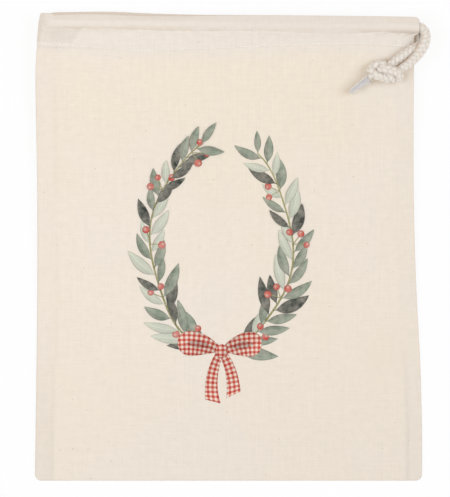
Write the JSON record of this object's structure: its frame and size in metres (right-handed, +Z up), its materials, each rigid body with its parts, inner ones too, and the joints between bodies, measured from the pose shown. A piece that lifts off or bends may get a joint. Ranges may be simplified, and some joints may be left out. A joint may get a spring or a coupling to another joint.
{
  "type": "drawstring gift bag",
  "caption": "Flat unbleached cotton bag lying on its back, with a casing along its mouth and a single knotted drawcord that leaves the casing at the right side seam.",
  "frame": {"origin": "under the middle of the bag's cloth, on the surface that it lies on", "axes": "+X along the mouth towards the end where the cord comes out, +Y from the bottom fold to the mouth, +Z up out of the front"},
  "size_m": [0.2549, 0.3021, 0.0268],
  "materials": {
    "calico": "unbleached plain-weave cotton, matte",
    "cotton_cord": "soft braided cotton, matte",
    "clear_sleeve": "thin clear plastic, a little cloudy"
  },
  "bodies": {
    "bag": {"front_panel": "calico", "back_panel": "calico", "left_side_seam": "calico", "right_side_seam": "calico", "front_casing": "calico", "back_casing": "calico"},
    "drawcord": {"casing_cord": "cotton_cord", "front_strand": "cotton_cord", "back_strand": "cotton_cord", "knot": "cotton_cord", "upper_aglet": "clear_sleeve", "lower_aglet": "clear_sleeve"}
  },
  "joints": [
    {"name": "drawcord_pull", "type": "slide", "parent": "bag", "child": "drawcord", "axis": [0.9999, -0.0114, 0], "range_m": [0, 0.15], "deforming": ["front_casing", "back_casing", "front_panel", "back_panel", "left_side_seam", "right_side_seam"]}
  ]
}
